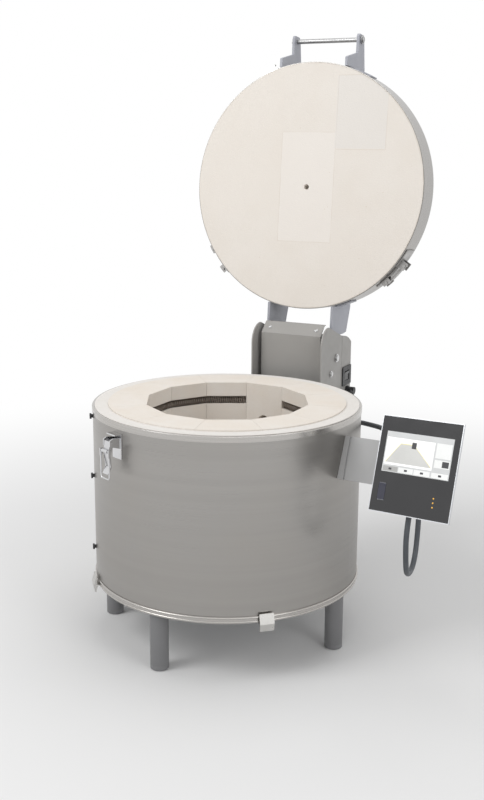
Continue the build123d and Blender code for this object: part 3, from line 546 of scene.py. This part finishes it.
def tube(bm, points, radius, sides=8, closed=False):
    """Sweeps a circle along points, all in metres."""
    count = len(points)
    rings = []
    normal = None
    for i in range(count):
        before = points[i - 1] if i or closed else points[0]
        after = points[(i + 1) % count] if i + 1 < count or closed else points[-1]
        tangent = (after - before).normalized()
        if normal is None:
            guess = Vector((0, 0, 1)) if abs(tangent.z) < 0.9 else Vector((1, 0, 0))
            normal = (guess - tangent * guess.dot(tangent)).normalized()
        else:
            normal = (normal - tangent * normal.dot(tangent)).normalized()
        side = tangent.cross(normal)
        ring = []
        for k in range(sides):
            a = 2 * math.pi * k / sides
            ring.append(bm.verts.new(points[i] + (normal * math.cos(a) + side * math.sin(a)) * radius))
        rings.append(ring)
    pairs = list(zip(rings[:-1], rings[1:]))
    if closed:
        pairs.append((rings[-1], rings[0]))
    for a, b in pairs:
        for k in range(sides):
            j = (k + 1) % sides
            bm.faces.new((a[k], a[j], b[j], b[k]))
    if not closed:
        bm.faces.new(rings[0])
        bm.faces.new(rings[-1])


def screw(bm, m, r=3.2, h=1.9, socket=1.5):
    """Button head with a hexagon socket and a thin washer under it."""
    lathe(bm, ((r * 1.35, 0), (r * 1.35, 0.4), (r * 1.02, 0.45)), m, 24)
    profile = [(r, 0.4), (r, 0.4 + h * 0.35)]
    for k in range(1, 5):
        a = math.pi / 2 * k / 5
        profile.append((r * math.cos(a * 0.72), 0.4 + h * (0.35 + 0.65 * math.sin(a))))
    profile.append((socket, 0.4 + h))
    profile.append((socket * 0.96, 0.4 + h * 0.4))
    lathe(bm, profile, m, 24)


UP = Vector((0, 0, 1))
X = Vector((1, 0, 0))

# Heating coils: wound wire along the grooves

COIL_R = 5.75
WIRE_R = 1.1
WIRE_PITCH = 4.1
STEPS_PER_TURN = 12
END_IN = 5.0
CORNER_IN = 8.0


def coil_line(drop):
    """The line of one row round the chamber, from one end of the plain side to the other."""
    reach = (CHAMBER_HALF + COIL_DEPTH) / math.cos(math.pi / CHAMBER_SIDES)
    corners = []
    for k in range(3, 15):
        turn = math.radians(CHAMBER_TURN + 360 / CHAMBER_SIDES * k)
        corners.append(Vector((reach * math.cos(turn), reach * math.sin(turn), RIM - drop)))
    corners[0] = corners[0] + (corners[1] - corners[0]).normalized() * END_IN
    corners[-1] = corners[-1] + (corners[-2] - corners[-1]).normalized() * END_IN
    line = [corners[0]]
    for a, b, c in zip(corners[:-2], corners[1:-1], corners[2:]):
        p = b + (a - b).normalized() * CORNER_IN
        q = b + (c - b).normalized() * CORNER_IN
        for k in range(7):
            s = k / 6
            line.append(p * (1 - s) ** 2 + b * (2 * s * (1 - s)) + q * s ** 2)
    line.append(corners[-1])
    return line


def wound_wire(line):
    """Points of a wire wound round a line, in metres."""
    steps = [0.0]
    for a, b in zip(line[:-1], line[1:]):
        steps.append(steps[-1] + (b - a).length)
    total = steps[-1]
    count = int(total / WIRE_PITCH * STEPS_PER_TURN)
    points = []
    run = 0
    for i in range(count + 1):
        s = total * i / count
        while run < len(line) - 2 and steps[run + 1] < s:
            run += 1
        f = (s - steps[run]) / (steps[run + 1] - steps[run])
        centre = line[run].lerp(line[run + 1], f)
        tangent = (line[run + 1] - line[run]).normalized()
        side = tangent.cross(UP).normalized()
        a = 2 * math.pi * s / WIRE_PITCH
        p = centre + side * (COIL_R * math.cos(a)) + UP * (COIL_R * math.sin(a))
        points.append(at(p.x, p.y, p.z))
    return points


for n, drop in enumerate(COIL_DROPS):
    bm = bmesh.new()
    tube(bm, wound_wire(coil_line(drop)), WIRE_R / 1000, 5)
    wound = piece("wound_coil_%d" % (n + 1), bm, "kiln", coil_wire, 80)
    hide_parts("heating_coil_%d" % (n + 1))

# Control cable, hanging from the box at the back to the controller

BOX_OUTLET = Vector((75.75, 402.0, RIM - 52.0))
GLAND_LONG = 14.1
outlet = Vector((0.25, -0.85, -0.46)).normalized()
start = BOX_OUTLET + Vector((10.5, 0, 0)) + outlet * 16
finish_mm = PANEL_MID + PANEL_X * -6 + PANEL_Y * (-PANEL_HALF_HEIGHT - GLAND_LONG) + FACE * -17
route = [
    start,
    start + outlet * 48,
    Vector((126, 300, RIM - 86)),
    Vector((156, 246, RIM - 76)),
    Vector((194, 180, RIM - 58)),
    Vector((262, 126, RIM - 50)),
    Vector((330, 62, RIM - 66)),
    Vector((364, -10, RIM - 100)),
    Vector((366, -16, RIM - 172)),
    Vector((367, -34, RIM - 232)),
    Vector((373, -94, RIM - 232)),
    Vector((376, -114, RIM - 190)),
    finish_mm - PANEL_Y * 30,
    finish_mm,
]
curve = bpy.data.curves.new("control_lead", "CURVE")
curve.dimensions = "3D"
curve.bevel_depth = CABLE_R / 1000
curve.bevel_resolution = 5
curve.resolution_u = 14
curve.use_fill_caps = True
spline = curve.splines.new("NURBS")
spline.points.add(len(route) - 1)
for control, p in zip(spline.points, route):
    control.co = (*at(*p), 1)
spline.order_u = 3
spline.use_endpoint_u = True
lead = bpy.data.objects.new("control_lead", curve)
bpy.context.scene.collection.objects.link(lead)
curve.materials.append(sheath)
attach(lead, "kiln")
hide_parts("control_cable")

# Controller front: display and lamps

GLASS_Z = -0.2
ui_tray = lit("ui_tray", (0.60, 0.61, 0.61), 0.2)
ui_pale = lit("ui_pale", (0.80, 0.81, 0.80), 0.25)
ui_white = lit("ui_white", (0.90, 0.90, 0.89), 0.3)
ui_grey = lit("ui_grey", (0.42, 0.42, 0.41), 0.15)
ui_mid = lit("ui_mid", (0.60, 0.60, 0.58), 0.2)
ui_dark = lit("ui_dark", (0.05, 0.05, 0.055), 0.02)
ui_line = lit("ui_line", (0.78, 0.72, 0.40), 0.3)
led_amber = lit("led_amber", (0.70, 0.38, 0.05), 0.4)
face = axes(PANEL_O, PANEL_X, FACE)


def ui(name, boxes, material, z, thick=0.05, bevel=0.0):
    bm = bmesh.new()
    for x0, y0, x1, y1 in boxes:
        block(bm, face, (x0, y0, GLASS_Z + z), (x1, y1, GLASS_Z + z + thick), bevel)
    return piece(name, bm, "kiln", material)


def ui_shape(name, outline, material, z, thick=0.04):
    bm = bmesh.new()
    low = [bm.verts.new(face @ Vector((x, y, GLASS_Z + z))) for x, y in outline]
    high = [bm.verts.new(face @ Vector((x, y, GLASS_Z + z + thick))) for x, y in outline]
    bm.faces.new(low)
    bm.faces.new(high)
    for k in range(len(outline)):
        j = (k + 1) % len(outline)
        bm.faces.new((low[k], low[j], high[j], high[k]))
    return piece(name, bm, "kiln", material)


ui("ui_field", [(-59.3, -12.2, 59.3, 52.7)], ui_tray, 0.0)
ui("ui_chart", [(-57.5, -0.5, 28.0, 43.5)], ui_white, 0.05)
ui("ui_column", [(31.0, 20.0, 57.5, 43.5), (31.0, 5.0, 57.5, 17.5)], ui_pale, 0.05)
tabs = [(-29.5, -11.0, -3.5, -3.0), (-2.0, -11.0, 26.0, -3.0), (29.0, -11.0, 57.5, -3.0)]
ui("ui_tabs", tabs, ui_pale, 0.05)
ui("ui_tab_on", [(-57.5, -11.0, -31.0, -3.0)], ui_grey, 0.05)
icons = [(x, -8.6, x + 5.2, -5.4) for x in (-47.0, -19.0, 9.5, 41.0)]
ui("ui_marks", icons, ui_dark, 0.10)
ui_shape("ui_ramp", ((-55, 3), (-32, 34), (-8, 34), (26, 3)), ui_mid, 0.10)
RAMP = (("rise", (-55, 3), (-32, 34)), ("hold", (-32, 34), (-8, 34)), ("fall", (-8, 34), (26, 3)))
LINE_WIDTH = 1.3
for name, a, b in RAMP:
    line = (a, b, (b[0], b[1] + LINE_WIDTH), (a[0], a[1] + LINE_WIDTH))
    ui_shape("ui_" + name, line, ui_line, 0.15)
ui("ui_box", [(-12.0, 29.0, -4.0, 39.0)], ui_dark, 0.20)
ui("ui_key", [(44.5, 6.5, 56.0, 16.0)], ui_dark, 0.10)

LAMP_DOME = ((0, 0.02), (1.3, 0.02), (1.3, 0.12), (0.8, 0.32), (0, 0.38))
LAMP_X = 39.5
bm = bmesh.new()
for y in (-42.5, -49.5, -56.5):
    lathe(bm, LAMP_DOME, axes(on_panel(LAMP_X, y, GLASS_Z), PANEL_X, FACE), 16)
piece("status_lamps", bm, "kiln", led_amber)

# Screws on the slope of the hinge's cover

COVER_SLOPE = Vector((0, -0.673, 0.74)).normalized()
bm = bmesh.new()
for x in (-50, 50):
    spot = at(x, 291, RIM + 88) + COVER_SLOPE * 0.0002
    screw(bm, axes(spot, X, COVER_SLOPE), 2.8, 1.6, 1.4)
piece("cover_screws", bm, "kiln", bright)


# Stage: floor, world, lamps


def seen_directly(nt):
    """One for rays of the camera, of a mirror or through a pane."""
    path = nt.nodes.new("ShaderNodeLightPath")
    seen = path.outputs["Is Camera Ray"]
    for ray in ("Is Glossy Ray", "Is Transmission Ray"):
        either = nt.nodes.new("ShaderNodeMath")
        either.operation = "MAXIMUM"
        nt.links.new(seen, either.inputs[0])
        nt.links.new(path.outputs[ray], either.inputs[1])
        seen = either.outputs[0]
    return seen


def stage_plane():
    """A pale floor that fades to white away from the kiln and keeps its shadow."""
    bm = bmesh.new()
    bmesh.ops.create_circle(bm, cap_ends=True, radius=7.0, segments=96)
    mesh = bpy.data.meshes.new("floor")
    bm.to_mesh(mesh)
    bm.free()
    floor = bpy.data.objects.new("floor", mesh)
    floor.location = (0, 0, -0.0003)
    bpy.context.scene.collection.objects.link(floor)
    mat = bpy.data.materials.new("floor")
    mat.use_nodes = True
    nt = mat.node_tree
    nt.nodes.clear()
    out = nt.nodes.new("ShaderNodeOutputMaterial")
    diffuse = nt.nodes.new("ShaderNodeBsdfDiffuse")
    diffuse.inputs["Color"].default_value = (0.80, 0.80, 0.80, 1)
    glow = nt.nodes.new("ShaderNodeEmission")
    glow.inputs["Color"].default_value = (1, 1, 1, 1)
    glow.inputs["Strength"].default_value = 1.0
    coords = nt.nodes.new("ShaderNodeTexCoord")
    length = nt.nodes.new("ShaderNodeVectorMath")
    length.operation = "LENGTH"
    nt.links.new(coords.outputs["Object"], length.inputs[0])
    fade = nt.nodes.new("ShaderNodeMapRange")
    fade.interpolation_type = "SMOOTHSTEP"
    fade.inputs["From Min"].default_value = 0.35
    fade.inputs["From Max"].default_value = 1.9
    nt.links.new(length.outputs["Value"], fade.inputs["Value"])
    much = nt.nodes.new("ShaderNodeMath")
    much.operation = "MULTIPLY"
    nt.links.new(seen_directly(nt), much.inputs[0])
    nt.links.new(fade.outputs["Result"], much.inputs[1])
    mix = nt.nodes.new("ShaderNodeMixShader")
    nt.links.new(much.outputs[0], mix.inputs[0])
    nt.links.new(diffuse.outputs[0], mix.inputs[1])
    nt.links.new(glow.outputs[0], mix.inputs[2])
    nt.links.new(mix.outputs[0], out.inputs[0])
    mesh.materials.append(mat)


def lamp(name, position, size, power, target=(-0.1, 0.0, 0.35)):
    data = bpy.data.lights.new(name, "AREA")
    data.shape = "RECTANGLE"
    data.size = size[0]
    data.size_y = size[1]
    data.energy = power
    ob = bpy.data.objects.new(name, data)
    ob.location = position
    aim = Vector(target) - Vector(position)
    ob.rotation_euler = aim.to_track_quat("-Z", "Y").to_euler()
    bpy.context.scene.collection.objects.link(ob)
    return ob


stage_plane()
lamp("key", (-1.5, -1.9, 2.3), (1.4, 1.4), 34)
lamp("fill", (2.4, -1.3, 1.5), (1.2, 1.8), 14)
lamp("top", (0.2, 0.3, 2.9), (1.8, 1.8), 16)

world = bpy.data.worlds.new("world")
bpy.context.scene.world = world
world.use_nodes = True
nt = world.node_tree
nt.nodes.clear()
out = nt.nodes.new("ShaderNodeOutputWorld")
soft = nt.nodes.new("ShaderNodeBackground")
soft.inputs["Color"].default_value = (1, 1, 1, 1)
soft.inputs["Strength"].default_value = 0.55
white = nt.nodes.new("ShaderNodeBackground")
white.inputs["Color"].default_value = (1, 1, 1, 1)
white.inputs["Strength"].default_value = 1.0
mix = nt.nodes.new("ShaderNodeMixShader")
nt.links.new(seen_directly(nt), mix.inputs[0])
nt.links.new(soft.outputs[0], mix.inputs[1])
nt.links.new(white.outputs[0], mix.inputs[2])
nt.links.new(mix.outputs[0], out.inputs[0])
